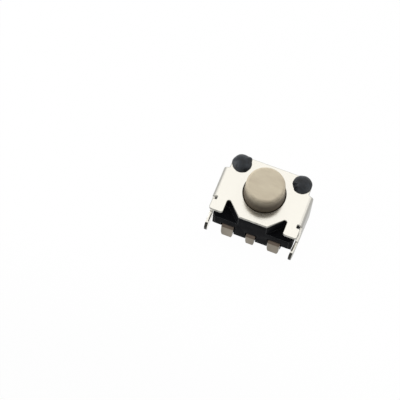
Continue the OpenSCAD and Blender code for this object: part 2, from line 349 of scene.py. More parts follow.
class Nodes:
    """Adds nodes to a node tree and feeds them."""

    def __init__(self, tree: bpy.types.NodeTree) -> None:
        """Takes the tree that is filled."""
        self.tree = tree

    def feed(self, node: bpy.types.Node, inputs: Inputs) -> None:
        """Sets or links inputs of a node.

        Args:
            node: the node.
            inputs: a value or a source socket for each input, by name or number.
        """
        for key, value in inputs.items():
            if isinstance(value, Socket):
                self.tree.links.new(value, node.inputs[key])
            else:
                node.inputs[key].default_value = value

    def add(self, kind: str, inputs: Inputs | None = None, **settings: object) -> bpy.types.Node:
        """Adds a node.

        Args:
            kind: type after ShaderNode.
            inputs: a value or a source socket for each input, by name or number.
            **settings: attributes to set.

        Returns:
            The node.
        """
        made = self.tree.nodes.new(f"ShaderNode{kind}")
        for key, value in settings.items():
            setattr(made, key, value)
        self.feed(made, inputs or {})
        return made

    def group(self, tree: bpy.types.NodeTree, inputs: Inputs) -> bpy.types.Node:
        """Places a shared group, with its inputs set or linked."""
        return self.add("Group", inputs, node_tree=tree)

    def math(self, operation: str, a: object, b: object) -> Socket:
        """The result of a new math node on two values or sockets."""
        return self.add("Math", {0: a, 1: b}, operation=operation).outputs[0]

    def blend(self, share: Socket, base: Socket, other: Socket) -> Socket:
        """The result of a new node that mixes two colours."""
        inputs: Inputs = {"Factor": share, "A": base, "B": other}
        return self.add("Mix", inputs, data_type="RGBA").outputs["Result"]

    def ramp(self, value: Socket, limits: Sequence[object], smooth: bool = False) -> Socket:
        """Adds a map range node.

        Args:
            value: what is mapped.
            limits: where it comes from, low and high, and where it goes, which is 0 to 1 if left out.
            smooth: whether it starts and ends softly.

        Returns:
            The result.
        """
        inputs = {"Value": value, **dict(zip(("From Min", "From Max", "To Min", "To Max"), limits))}
        kind = "SMOOTHSTEP" if smooth else "LINEAR"
        return self.add("MapRange", inputs, interpolation_type=kind).outputs[0]

    def along(self, place: str, axis: Sequence[float]) -> Socket:
        """How far a texture coordinate reaches along an axis."""
        source = self.add("TexCoord").outputs[place]
        return self.add("VectorMath", {0: source, 1: axis}, operation="DOT_PRODUCT").outputs["Value"]

    def shader_mix(self, share: object, first: bpy.types.Node, second: bpy.types.Node) -> bpy.types.Node:
        """A new node that mixes two shaders."""
        return self.add("MixShader", {0: share, 1: first.outputs[0], 2: second.outputs[0]})

    def sees_white(self) -> Socket:
        """Mask of the rays that see the white background.

        Returns:
            The mask, 1 for camera, glossy and transmission rays.
        """
        path = self.add("LightPath")
        mask = path.outputs["Is Camera Ray"]
        for ray in ("Is Glossy Ray", "Is Transmission Ray"):
            mask = self.math("MAXIMUM", mask, path.outputs[ray])
        return mask


class NodeGroup(Nodes):
    """A shader node group with named sockets."""

    def __init__(self, name: str, inputs: dict[str, str]) -> None:
        """Starts a group.

        Args:
            name: name of the group.
            inputs: socket type after NodeSocket for each input.
        """
        super().__init__(bpy.data.node_groups.new(name, "ShaderNodeTree"))
        self.inlet = self.tree.nodes.new("NodeGroupInput")
        self.outlet = self.tree.nodes.new("NodeGroupOutput")
        for socket, kind in inputs.items():
            self.tree.interface.new_socket(socket, in_out="INPUT", socket_type=f"NodeSocket{kind}")

    def __getitem__(self, name: str) -> Socket:
        """The socket of an input, seen from inside the group."""
        return self.inlet.outputs[name]

    def give(self, name: str, kind: str, source: Socket) -> None:
        """Adds an output and links it.

        Args:
            name: name of the socket.
            kind: socket type after NodeSocket.
            source: what feeds it.
        """
        self.tree.interface.new_socket(name, in_out="OUTPUT", socket_type=f"NodeSocket{kind}")
        self.tree.links.new(source, self.outlet.inputs[name])


def millimetre_group() -> bpy.types.NodeTree:
    """Builds the group that gives the object's own place in millimetres, stretched as asked.

    Returns:
        The group.
    """
    group = NodeGroup("Millimetre place", {"Stretch": "Vector"})
    place = group.add("TexCoord").outputs["Object"]
    scaled = group.add("VectorMath", {0: place}, operation="SCALE")
    scaled.inputs["Scale"].default_value = 1.0 / MM
    product = group.add("VectorMath", {0: scaled.outputs[0], 1: group["Stretch"]}, operation="MULTIPLY")
    group.give("Place", "Vector", product.outputs[0])
    return group.tree


def mottle_group() -> bpy.types.NodeTree:
    """Builds the group for slow tone changes and fine grain.

    Returns:
        The group, with a colour, a roughness and a height.
    """
    group = NodeGroup("Mottle and grain", {
        "Place": "Vector", "Light tone": "Color", "Dark tone": "Color", "Patch scale": "Float",
        "Grain scale": "Float", "Roughness": "Float", "Roughness spread": "Float",
    })
    noises = [
        group.add("TexNoise", {
            "Vector": group["Place"], "Scale": group[scale], "Detail": detail, "Roughness": roughness,
        }).outputs[0]
        for scale, detail, roughness in (("Patch scale", 4.0, 0.55), ("Grain scale", 6.0, 0.6))
    ]
    patches = group.ramp(noises[0], PATCH_LIMITS)
    group.give("Color", "Color", group.blend(patches, group["Light tone"], group["Dark tone"]))
    wobble = group.math("MULTIPLY", group.math("SUBTRACT", noises[1], 0.5), group["Roughness spread"])
    group.give("Roughness", "Float", group.math("ADD", group["Roughness"], wobble))
    group.give("Height", "Float", noises[1])
    return group.tree


def edge_wear_and_highlight_group() -> bpy.types.NodeTree:
    """Builds the group that lightens sharp edges, partly as edge wear and partly as painted highlight.

    Returns:
        The group, with a colour.
    """
    group = NodeGroup("Edge wear and painted highlight", {"Color": "Color", "Worn and highlight color": "Color", "Amount": "Float"})
    edge = group.ramp(group.add("NewGeometry").outputs["Pointiness"], WEAR_AND_HIGHLIGHT_LIMITS)
    mask = group.math("MULTIPLY", edge, group["Amount"])
    group.give("Color", "Color", group.blend(mask, group["Color"], group["Worn and highlight color"]))
    return group.tree


def foot_shade_group() -> bpy.types.NodeTree:
    """Builds the group that paints shade on a piece towards its foot, by the height in millimetres.

    Returns:
        The group, with a colour.
    """
    group = NodeGroup("Painted foot shade", {
        "Color": "Color", "Painted shade color": "Color", "Low": "Float", "High": "Float", "Share": "Float",
    })
    parts = group.add("SeparateXYZ", {0: group.add("TexCoord").outputs["Object"]})
    height = group.math("MULTIPLY", parts.outputs["Z"], 1.0 / MM)
    rise = group.ramp(height, (group["Low"], group["High"], 1.0, 0.0), smooth=True)
    mask = group.math("MULTIPLY", rise, group["Share"])
    group.give("Color", "Color", group.blend(mask, group["Color"], group["Painted shade color"]))
    return group.tree


class Effects:
    """The shared shader groups, each built once."""

    def __init__(self) -> None:
        """Builds the groups."""
        self.place, self.mottle = millimetre_group(), mottle_group()
        self.wear, self.foot = edge_wear_and_highlight_group(), foot_shade_group()


# Finishes


@dataclass(frozen=True)
class Finish:
    """A surface finish built from the shared groups."""

    name: str
    light: Triple
    dark: Triple
    # Lighter colour on sharp edges and its amount: partly edge wear, partly painted highlight.
    worn: Triple = (0.0, 0.0, 0.0)
    wear: float = 0.0
    metallic: float = 0.0
    roughness: float = 0.4
    spread: float = 0.2
    patch_scale: float = 1.2
    grain_scale: float = 20.0
    stretch: Triple = (1.0, 1.0, 1.0)
    bump: float = 0.3
    bump_depth: float = 0.006
    specular: float = 0.5
    # Painted shade towards a piece's foot: its colour, the heights over which it fades out, and its share.
    foot: Triple = (0.0, 0.0, 0.0)
    foot_shade_span: Span = (0.0, 1.0)
    foot_shade_share: float = 0.0

    def build(self, effects: Effects) -> bpy.types.Material:
        """Builds the material.

        Args:
            effects: the shared groups.

        Returns:
            The material.
        """
        material = bpy.data.materials.new(self.name)
        material.use_nodes = True
        nodes = Nodes(material.node_tree)
        place = nodes.group(effects.place, {"Stretch": self.stretch})
        mottle = nodes.group(effects.mottle, {
            "Place": place.outputs["Place"], "Light tone": (*self.light, 1), "Dark tone": (*self.dark, 1),
            "Patch scale": self.patch_scale, "Grain scale": self.grain_scale,
            "Roughness": self.roughness, "Roughness spread": self.spread,
        })
        wear = nodes.group(effects.wear, {
            "Color": mottle.outputs["Color"], "Worn and highlight color": (*self.worn, 1), "Amount": self.wear,
        })
        foot = nodes.group(effects.foot, {
            "Color": wear.outputs["Color"], "Painted shade color": (*self.foot, 1), "Low": self.foot_shade_span[0],
            "High": self.foot_shade_span[1], "Share": self.foot_shade_share,
        })
        bump = nodes.add("Bump", {
            "Strength": self.bump, "Distance": self.bump_depth * MM, "Height": mottle.outputs["Height"],
        })
        nodes.feed(nodes.tree.nodes["Principled BSDF"], {
            "Base Color": foot.outputs["Color"], "Roughness": mottle.outputs["Roughness"],
            "Normal": bump.outputs["Normal"], "Metallic": self.metallic,
            "Specular IOR Level": self.specular,
        })
        return material


PLATED_FACE = Finish(
    "plated_sheet", (0.79, 0.765, 0.695), (0.77, 0.745, 0.675), (0.8, 0.78, 0.71), 0.2,
    metallic=1.0, roughness=0.18, spread=0.08, patch_scale=0.5, grain_scale=14.0,
    stretch=(1.0, 0.12, 1.0), bump=0.08, bump_depth=0.002,
)
SHEARED_EDGE = Finish(
    "sheared_edge", (0.42, 0.41, 0.37), (0.24, 0.235, 0.21), (0.5, 0.49, 0.44), 0.3,
    metallic=1.0, roughness=0.3, spread=0.25, patch_scale=3.0, grain_scale=22.0, stretch=(1.0, 1.0, 0.3),
)
# Painted shade: the wings and bends are the plate's own metal, toned darker grey to stand in for their dimmer
# reflections.
BENT_SHEET_PAINTED_SHADE = Finish(
    "bent_sheet_painted_shade", (0.42, 0.412, 0.38), (0.35, 0.343, 0.316), (0.5, 0.49, 0.455), 0.2,
    metallic=1.0, roughness=0.36, spread=0.16, grain_scale=14.0, stretch=(1.0, 0.3, 1.0),
    bump=0.2, bump_depth=0.003,
)
# Painted shade: the terminals' risers and bends next to the housing are toned dark for the shade of the slots
# and the dark reflection there.
TERMINAL_BEND_PAINTED_SHADE = Finish(
    "terminal_bend_painted_shade", (0.13, 0.103, 0.083), (0.09, 0.072, 0.057),
    metallic=1.0, roughness=0.5, patch_scale=2.0, grain_scale=18.0, bump=0.25, bump_depth=0.004,
)
# Painted shade: the legs' cut ends are toned near black for the dark reflection of the shaded table beside
# them.
LEG_TIP_PAINTED_SHADE = Finish(
    "leg_tip_painted_shade", (0.06, 0.058, 0.05), (0.015, 0.0145, 0.012), metallic=1.0, patch_scale=3.0,
)
# Partly painted shade: the terminals' plating tone is set darker grey, standing in for their dimmer
# reflections as well as the plating's own colour.
TERMINAL_PLATING_AND_SHADE = Finish(
    "plated_terminal_and_painted_shade", (0.27, 0.238, 0.19), (0.215, 0.19, 0.15), (0.34, 0.305, 0.25), 0.2,
    metallic=1.0, roughness=0.46, patch_scale=1.0, grain_scale=18.0, stretch=(1.0, 0.3, 0.3),
    bump=0.25, bump_depth=0.004,
)
BLACK_MOULDING = Finish(
    "black_moulding", (0.008, 0.0085, 0.01), (0.004, 0.0043, 0.0055),
    roughness=0.55, patch_scale=1.6, grain_scale=26.0, bump=0.35, specular=0.02,
)
# Painted highlight: the housing's rounded edges are toned lighter grey to stand in for the glints along its
# ridges.
HOUSING_EDGE_PAINTED_HIGHLIGHT = Finish(
    "housing_edge_painted_highlight", (0.06, 0.063, 0.067), (0.03, 0.032, 0.035), patch_scale=2.2, specular=0.1,
)
RIVETED_HEAD = Finish(
    "riveted_head", (0.022, 0.028, 0.036), (0.003, 0.0045, 0.006),
    roughness=0.34, spread=0.4, patch_scale=2.2, grain_scale=4.0,
    bump=0.8, bump_depth=0.045, specular=0.34,
)
BEIGE_MOULDING = Finish(
    "beige_moulding", (0.6, 0.53, 0.4), (0.535, 0.465, 0.35), (0.64, 0.57, 0.45), 0.2,
    roughness=0.5, spread=0.15, patch_scale=1.5, stretch=(0.6, 1.6, 1.0),
    # Painted shade: the button's flank is darkened towards its foot, where the plate and the button shade it.
    foot=(0.068, 0.052, 0.035), foot_shade_span=(4.08, 5.06), foot_shade_share=0.93, specular=0.12,
)
SPRING_METAL = Finish(
    "spring_metal", (0.7, 0.68, 0.64), (0.6, 0.58, 0.55), (0.85, 0.83, 0.8), 0.2,
    metallic=1.0, roughness=0.28, spread=0.15, grain_scale=24.0, stretch=(1.0, 0.2, 1.0),
    bump=0.2, bump_depth=0.002,
)


class Wardrobe:
    """Every finish as a built material."""

    def __init__(self, effects: Effects) -> None:
        """Builds the materials.

        Args:
            effects: the shared groups.
        """
        finishes = (
            PLATED_FACE, SHEARED_EDGE, BENT_SHEET_PAINTED_SHADE, LEG_TIP_PAINTED_SHADE, TERMINAL_PLATING_AND_SHADE, TERMINAL_BEND_PAINTED_SHADE, BLACK_MOULDING,
            HOUSING_EDGE_PAINTED_HIGHLIGHT, RIVETED_HEAD, BEIGE_MOULDING, SPRING_METAL,
        )
        self._built = {finish.name: finish.build(effects) for finish in finishes}

    def seat(
        self, bm: Mesh, name: str, body: Body, slot: Slot, node: str | None, *finishes: Finish
    ) -> Object:
        """Args:
            bm: the mesh in millimetres, freed here.
            name: name of the piece.
            body: body that it moves with.
            slot: record slot that its finish comes from; not used.
            node: CAD node that it stands for, if any.
            *finishes: its finishes, one per material index.

        Returns:
            The piece.
        """
        piece = to_object(bm, name, MM)
        for finish in finishes:
            piece.data.materials.append(self._built[finish.name])
        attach(piece, body.value)
        if node:
            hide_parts(node)
        return piece


# Sizes in common


@dataclass
class Switch:
    """Sizes that several pieces of the switch share."""

    case_d: float = 3.62
    sheet_t: float = 0.2
    plate_low: float = 2.2
    centre_half: float = 0.97
    apex_low: float = 1.31
    apex_r: float = 0.14
    tab_in: float = 2.06
    post_x: float = 2.09
    post_y: float = 1.47

    @property
    def plate_in(self) -> float:
        """Height of the plate's inner face, where the housing ends."""
        return self.case_d - self.sheet_t

    def notch(self) -> tuple[Point, float]:
        """Shape of the right notch, whose slanted side runs into the circle of its tip.

        Returns:
            The middle of the rounded tip, and the slanted side's direction in degrees.
        """
        tip = (self.tab_in - self.apex_r, -self.apex_low - self.apex_r)
        away = (tip[0] - self.centre_half, tip[1] + self.plate_low)
        slant = math.atan2(away[1], away[0]) + math.asin(self.apex_r / math.hypot(*away))
        return tip, math.degrees(slant)


# Cover


@dataclass
class Cover(Switch):
    """Stamped cover: plate, two side wings and a locating leg on each wing."""

    over_w: float = 6.2
    bend_r: float = 0.14
    plate_top: float = 2.03
    ear_inset: float = 0.36
    corner_r: float = 0.6
    tab_low: float = 2.3
    tab_out: float = 3.01
    tab_r: float = 0.17
    relief_h: float = 0.26
    relief_in: float = 0.36
    relief_r: float = 0.06
    wing_top: float = 0.9
    wing_low: float = 1.3
    wing_r: float = 0.1
    shoulder_h: float = 0.3
    shoulder_l: float = 0.35
    shoulder_cut: float = 0.05
    wing_back: float = 0.6
    leg_w: float = 1.0
    leg_low: float = 2.7
    leg_tip_r: float = 0.42
    hole_r: float = 1.415
    post_hole_r: float = 0.34
    bend_steps: int = 8
    bend_start: float = 0.16
    flat_at: float = 0.9
    lean: float = 0.12
    tip_y: float = -2.46

    @property
    def flat_half(self) -> float:
        """Half width of the flat part between the bends."""
        return self.over_w / 2 - self.bend_r - self.sheet_t

    @property
    def bend_len(self) -> float:
        """Length of a wing's bend in the flat blank."""
        return (self.bend_r + self.sheet_t / 2) * math.pi / 2

    @property
    def bend_z(self) -> float:
        """Height of a wing bend's axis."""
        return self.plate_in - self.bend_r

    def _u(self, z: float) -> float:
        """Place across the blank of a height on the right wing."""
        return self.flat_half + self.bend_len + self.bend_z - z

    def _right_outline(self) -> Loop:
        """Right half of the blank's outline.

        Returns:
            The points, clockwise from the top middle.
        """
        side = self.over_w / 2 - self.ear_inset
        back, front = self._u(self.wing_back), self._u(self.wing_back + self.leg_w)
        shoulder = self._u(self.wing_back + self.leg_w + self.shoulder_l)
        shoulder_y = -self.wing_low - self.shoulder_h
        relief_x = self.over_w / 2 - self.relief_in + self.relief_r
        relief_y = -self.wing_low - self.relief_h
        r, tip, small, cut, wing_r = self.tab_r, self.leg_tip_r, self.relief_r, self.shoulder_cut, self.wing_r
        apex, slant = self.notch()
        return [
            (0.0, self.plate_top),
            *arc((side - self.corner_r, self.plate_top - self.corner_r), self.corner_r, 90, 0, 16),
            (side, self.wing_top + small), (side + small, self.wing_top), (back - wing_r, self.wing_top),
            *arc((back - wing_r, self.wing_top - wing_r), wing_r, 90, 0, 5),
            *arc((back - tip, tip - self.leg_low), tip, 0, -90, 12),
            *arc((front + tip, tip - self.leg_low), tip, -90, -180, 12),
            (front, shoulder_y - cut), (front - cut, shoulder_y), (shoulder, shoulder_y),
            (shoulder, -self.wing_low),
            *arc((relief_x, -self.wing_low - small), small, 90, 180, 5),
            *arc((relief_x, relief_y + small), small, 180, 270, 5),
            *arc((self.tab_out - wing_r, relief_y - wing_r), wing_r, 90, 0, 6),
            *arc((self.tab_out - r, -self.tab_low + r), r, 0, -90, 8),
            *arc((self.tab_in + r, -self.tab_low + r), r, -90, -180, 8),
            *arc(apex, self.apex_r, 0, slant + 90, 12),
            (self.centre_half, -self.plate_low),
        ]

    def _fold(self, place: Vector) -> Vector:
        """Place of a blank's point on the bent cover.

        Args:
            place: point of the flat blank.

        Returns:
            The point in the frame, in millimetres.
        """
        side = math.copysign(1.0, place.x)
        u, y, n = abs(place.x), place.y, -place.z
        on_tab = y < -self.wing_low - self.wing_r and u < self.tab_out + self.relief_r
        if u <= self.flat_half or on_tab:
            return Vector((side * u, y, self.case_d - n))
        if u <= self.flat_half + self.bend_len:
            a = (u - self.flat_half) / self.bend_len * math.pi / 2
            radius = self.bend_r + self.sheet_t - n
            x = self.flat_half + radius * math.sin(a)
            return Vector((side * x, y, self.bend_z + radius * math.cos(a)))
        return Vector((side * (self.over_w / 2 - n), y, self._u(u)))

    def _leaned(self, place: Vector) -> Vector:
        """Place of a point once the right leg is bent in a little, as in the photograph.

        Args:
            place: point of the bent cover.

        Returns:
            The same point, or on the right leg the moved one.
        """
        if place.x < self.over_w / 4 or place.z > self.bend_z:
            return place
        along = (-place.y - self.wing_low) / (self.leg_low - self.wing_low)
        return place - Vector((self.lean * min(1.0, max(0.0, along)), 0.0, 0.0))

    def _finish_at(self, face: bmesh.types.BMFace) -> int:
        """Index of the finish of one face of the bent cover.

        Args:
            face: a face with its index from the blank, 1 on the rim and 0 elsewhere.

        Returns:
            0 for the plate, 1 for the sheared rim, 2 for bends and wings in painted shade, 3 for the legs'
            cut ends in painted dark reflection.
        """
        middle = face.calc_center_median()
        if face.material_index == 0:
            outside = abs(middle.x) > self.flat_half + self.bend_start
            # Painted shade: bends and wings get the darker grey tone.
            return 2 if outside and (middle.y > -self.wing_low or middle.z < self.bend_z) else 0
        # Painted shade: rim faces at the legs' ends get the near black tip tone.
        if middle.y < self.tip_y:
            return 3
        flat_rim = max(abs(face.normal.y), abs(face.normal.z)) > self.flat_at
        return 0 if middle.z < self.bend_z and flat_rim else 1

    def _mesh(self) -> Mesh:
        """Cuts the blank out and bends it.

        Returns:
            The mesh in millimetres, with the finishes' indices.
        """
        right = self._right_outline()
        holes = [arc((0, 0), self.hole_r, 0, -360, 96)]
        for x in (-self.post_x, self.post_x):
            holes.append(arc((x, self.post_y), self.post_hole_r, 0, -360, 24))
        bm = SheetBlank(self.sheet_t, list(reversed(right + mirrored(right))), holes).build()
        bend = bend_places(self.flat_half, self.bend_len, self.bend_steps)
        cut_lines(bm, 0, bend + [-u for u in bend])
        cut_lines(bm, 1, [self.tip_y])
        for vert in bm.verts:
            vert.co = self._leaned(self._fold(vert.co))
        face_out(bm)
        bm.normal_update()
        for face in bm.faces:
            face.material_index = self._finish_at(face)
        return bm

    def build(self, wardrobe: Wardrobe) -> Object:
        """Builds the cover and dresses it from the wardrobe."""
        finishes = (PLATED_FACE, SHEARED_EDGE, BENT_SHEET_PAINTED_SHADE, LEG_TIP_PAINTED_SHADE)
        return wardrobe.seat(self._mesh(), "stamped_cover", Body.SWITCH, Slot.COVER, "cover_frame", *finishes)


# Terminals


@dataclass
class Terminal:
    """One bent strip: inner contact, riser, soldered flat and curled rear end."""

    place: str
    middle: float
    width: float
    front: float
    inner_z: float
    inner_end: float
    contact_r: float = 0.0
    contact_top: float = 0.0
    contact_edge: float = 0.03
    thickness: float = 0.2
    flat_y: float = 2.32
    riser_y: float = 1.15
    rear_gap: float = 0.02
    curl_a: float = 55.0
    curl_l: float = 0.08
    corner_w: float = 0.3
    corner_l: float = 0.75
    inner_r: float = 0.05
    bend_r: float = 0.05
    bend_steps: int = 8
    guard: float = 0.015
    bend_tilt: float = 0.3
    edge_round: float = 0.025

    def _corners(self) -> Loop:
        """Middle line of the strip, with sharp corners.

        Returns:
            Points in y and z, from the inner contact to the curled end.
        """
        half = self.thickness / 2
        riser, run, inner = -self.riser_y + half, self.front - half, self.inner_z - half
        curl = math.radians(self.curl_a)
        outer = self.bend_r + self.thickness
        curl_z = self.rear_gap + outer * math.sin(curl) + self.curl_l * math.cos(curl)
        tangent = (self.bend_r + half) * math.tan(curl / 2)
        y, z = -self.flat_y + half, curl_z - tangent
        reach = tangent + self.curl_l
        end = (y + reach * math.sin(curl), z - reach * math.cos(curl))
        return [(self.inner_end, inner), (riser, inner), (riser, run), (y, run), (y, z), end]

    def _course(self) -> list[Station]:
        """Stations along the strip.

        Returns:
            Distance along the middle line, place, and unit direction at each station.
        """
        radius = self.bend_r + self.thickness / 2
        corners = [Vector(c) for c in self._corners()]
        places = [(corners[0], (corners[1] - corners[0]).normalized())]
        for a, b, c in zip(corners, corners[1:], corners[2:]):
            arrive, leave = (b - a).normalized(), (c - b).normalized()
            turn = math.atan2(arrive.x * leave.y - arrive.y * leave.x, arrive.dot(leave))
            tangent = radius * math.tan(abs(turn) / 2)
            start = b - arrive * tangent
            centre = start + Vector((-arrive.y, arrive.x)) * math.copysign(radius, turn)
            places.append((start - arrive * self.guard, arrive))
            for i in range(self.bend_steps + 1):
                spin = Matrix.Rotation(turn * i / self.bend_steps, 2)
                places.append((centre + spin @ (start - centre), spin @ arrive))
            places.append((b + leave * (tangent + self.guard), leave))
        places.append((corners[-1], (corners[-1] - corners[-2]).normalized()))
        course, total = [], 0.0
        for i, (place, direction) in enumerate(places):
            total += (place - places[i - 1][0]).length if i else 0.0
            course.append((total, place, direction))
        return course

    def _bent(self, flat: Vector, course: list[Station]) -> Vector:
        """Place of a blank's point on the bent strip.

        Args:
            flat: point of the flat blank, y along the strip.
            course: stations along the strip.

        Returns:
            The point in the frame, in millimetres.
        """
        along = min(max(flat.y, 0.0), course[-1][0])
        start, end = next(pair for pair in zip(course, course[1:]) if along <= pair[1][0] + 1e-9)
        part = (along - start[0]) / max(1e-9, end[0] - start[0])
        direction = start[2].lerp(end[2], part).normalized()
        normal = Vector((-direction.y, direction.x))
        off = start[1].lerp(end[1], part) - normal * (flat.z + self.thickness / 2)
        return Vector((self.middle + flat.x, off.x, off.y))

    def _mesh(self) -> Mesh:
        """Cuts the strip out, bends it and adds the raised round contact.

        Returns:
            The mesh in millimetres, with the finishes' indices.
        """
        course = self._course()
        length, w, r = course[-1][0], self.width / 2, self.inner_r
        right = arc((w - r, r), r, -90, 0, 4) + [
            (w - self.corner_w * self.width * (1.0 - x), length - self.corner_l * (1.0 - y))
            for x, y in arc((0.0, 0.0), 1.0, 0, 90, 14)
        ]
        bm = SheetBlank(self.thickness, right + mirrored(right), edge_round=self.edge_round).build()
        cut_lines(bm, 1, [station[0] for station in course[1:-1]])
        for vert in bm.verts:
            vert.co = self._bent(vert.co, course)
        face_out(bm)
        bm.normal_update()
        for face in bm.faces:
            # Painted shade: faces turned up towards the housing, outside the slot, get the dark bend tone.
            if face.normal.z > self.bend_tilt and face.calc_center_median().y < -self.riser_y:
                face.material_index = 2
        if self.contact_r:
            r, e, top = self.contact_r, self.contact_edge, self.contact_top
            low = self.inner_z - self.thickness / 2
            disc = lathe([(0.0, top), *arc((r - e, top - e), e, 90, 0, 4), (r, low), (0.0, low)], steps=40)
            smooth_faces(disc)
            join(bm, disc)
        return bm

    def build(self, wardrobe: Wardrobe) -> Object:
        """Builds the terminal and dresses it from the wardrobe."""
        name, finishes = f"terminal_{self.place}", (TERMINAL_PLATING_AND_SHADE, SHEARED_EDGE, TERMINAL_BEND_PAINTED_SHADE)
        return wardrobe.seat(self._mesh(), f"strip_{name}", Body.SWITCH, Slot.TERMINAL, name, *finishes)


# Housing

# Turns of a prism, so that its outline lies in y and z, or in x and -z.
ALONG_X = Matrix(((0, 0, 1, 0), (1, 0, 0, 0), (0, 1, 0, 0), (0, 0, 0, 1)))
ALONG_Y = Matrix.Rotation(math.radians(-90), 4, "X")


@dataclass
class Housing(Switch):
    """Black moulding with side pockets, terminal slots and stepped rear corners."""

    width: float = 5.52
    top: float = 1.86
    low_cham: float = 0.2
    top_cham_x: float = 0.48
    top_cham_y: float = 0.9
    back_cham_x: float = 0.56
    back_cham_z: float = 0.7
    pocket_y: float = 1.28
    rest_y: float = 1.62
    rest_d: float = 0.62
    step_h: float = 0.5
    step_z: float = 0.97
    step_cham_y: float = 0.2
    step_cham_z: float = 0.42
    step_wall: float = -0.06
    cavity_r: float = 1.84
    cavity_d: float = 1.0
    slope_y: float = 1.2
    slope_z: float = 0.62
    pitch: float = 1.615
    outer_w: float = 0.83
    outer_front: float = 1.57
    pad_rise: float = 0.02
    pad_y: float = 0.5
    centre_w: float = 0.62
    centre_front: float = 1.32
    centre_sink: float = 0.25
    contact_r: float = 0.36
    contact_rise: float = 0.1
    term_t: float = 0.2
    slot_gap: float = 0.09
    channel_gap: float = 0.03
    slot_front: float = 0.2
    slot_y: float = 1.36
    channel_y: float = 2.07
    edge_round: float = 0.045
    edge_steps: int = 3
    edge_angle: float = 25.0
    far: float = 0.5

    @property
    def floor_z(self) -> float:
        """Height of the cavity's floor and of the pockets' rear edge."""
        return self.plate_in - self.cavity_d

    def terminals(self) -> list[Terminal]:
        """The strips that its slots hold.

        Returns:
            The left, the right and the middle one.
        """
        pad_z = self.floor_z + self.pad_rise
        sizes = (self.outer_w, self.outer_front, pad_z, self.pad_y)
        outer = [Terminal("left", -self.pitch, *sizes), Terminal("right", self.pitch, *sizes)]
        return outer + [Terminal(
            "centre", 0.0, self.centre_w, self.centre_front, self.floor_z - self.centre_sink, self.contact_r,
            self.contact_r, self.floor_z + self.contact_rise,
        )]

    def _prism(
        self, loop: Loop, low: float, high: float, name: str, turn: Matrix | None = None
    ) -> Object:
        """Makes a helper prism from an outline in x and y.

        Args:
            loop: its outline.
            low: lower end in z.
            high: upper end in z.
            name: name of the helper.
            turn: matrix that turns it after that, if any.

        Returns:
            The helper object, in millimetres.
        """
        bm = bmesh.new()
        base, lid = ([bm.verts.new((x, y, z)) for x, y in loop] for z in (low, high))
        bm.faces.new(base)
        bm.faces.new(lid)
        for i in range(len(loop)):
            j = (i + 1) % len(loop)
            bm.faces.new((base[i], base[j], lid[j], lid[i]))
        face_out(bm)
        helper = to_object(bm, name)
        if turn is not None:
            helper.data.transform(turn)
        return helper

    def _slot(self, middle: float, width: float, front: float) -> list[Object]:
        """Helpers that cut a terminal's slot and the channel of its flat.

        Args:
            middle: the terminal's middle in x.
            width: the terminal's width.
            front: the height of its front face.

        Returns:
            The helpers, in millimetres.
        """
        low = -self.plate_low - self.far
        made = []
        for name, gap, high, deep, shallow in (
            ("cut_slot", self.slot_gap, -self.slot_y, front - self.term_t, front + self.slot_front),
            ("cut_channel", self.channel_gap, -self.channel_y, -self.far, front),
        ):
            left, right = middle - (width / 2 + gap), middle + (width / 2 + gap)
            loop = [(left, low), (right, low), (right, high), (left, high)]
            made.append(self._prism(loop, deep, shallow, name))
        return made

    def _side_cutters(self, side: int) -> list[Object]:
        """Helpers that cut the pocket, the stepped and slanted rear corner and the slot on one side.

        Args:
            side: -1 for the left, 1 for the right.

        Returns:
            The helpers, in millimetres.
        """
        half, far, face = self.width / 2, self.far, -self.plate_low
        out = half + far
        slope = math.tan(math.radians(self.notch()[1]))
        start, end = (self.centre_half - far, face - far * slope), (out, face - far * slope)
        inner = (self.centre_half + (self.plate_low - self.pocket_y) / slope, -self.pocket_y)
        pocket = [start, inner, (out, -self.pocket_y), end]
        ledge = [(self.tab_in, -self.pocket_y), (self.tab_in, -self.rest_y), (out, -self.rest_y)]
        rest = [start, inner, *ledge, end]
        slant = [
            (half - self.back_cham_x, 0.0), (half - self.back_cham_x, far), (out, far),
            (out, -self.back_cham_z), (half, -self.back_cham_z),
        ]
        pocket, rest, slant = ([(side * x, y) for x, y in loop] for loop in (pocket, rest, slant))
        cham_z = self.step_z + self.step_cham_z
        step = [
            (face - far, -far), (face + self.step_h, -far), (face + self.step_h, self.step_z),
            (face + self.step_cham_y, self.step_z), (face, cham_z), (face - far, cham_z),
        ]
        wall = self.pitch + self.outer_w / 2 + self.slot_gap + self.step_wall
        low, high = sorted((side * wall, side * out))
        rest_z = self.plate_in - self.rest_d
        return [
            self._prism(pocket, self.floor_z, rest_z, "cut_pocket"),
            self._prism(rest, rest_z, self.plate_in + far, "cut_pocket"),
            self._prism(step, low, high, "cut_step", ALONG_X),
            self._prism(slant, face - far, self.top + far, "cut_corner", ALONG_Y),
            *self._slot(side * self.pitch, self.outer_w, self.outer_front),
        ]

    def _cutters(self) -> list[Object]:
        """Helpers for everything that is cut out of the block.

        Returns:
            The helpers, in millimetres.
        """
        face, far = -self.plate_low, self.far
        out = self.width / 2 + far
        rear = [
            (face, self.slope_z), (face - far, self.slope_z), (face - far, -far),
            (face + self.slope_y, -far), (face + self.slope_y, 0.0),
        ]
        cavity = arc((0, 0), self.cavity_r, 0, 360, 64)[:-1]
        return [
            *self._side_cutters(-1), *self._side_cutters(1),
            *self._slot(0.0, self.centre_w, self.centre_front),
            self._prism(rear, -out, out, "cut_rear_slope", ALONG_X),
            self._prism(cavity, self.floor_z, self.plate_in + far, "cut_cavity"),
        ]

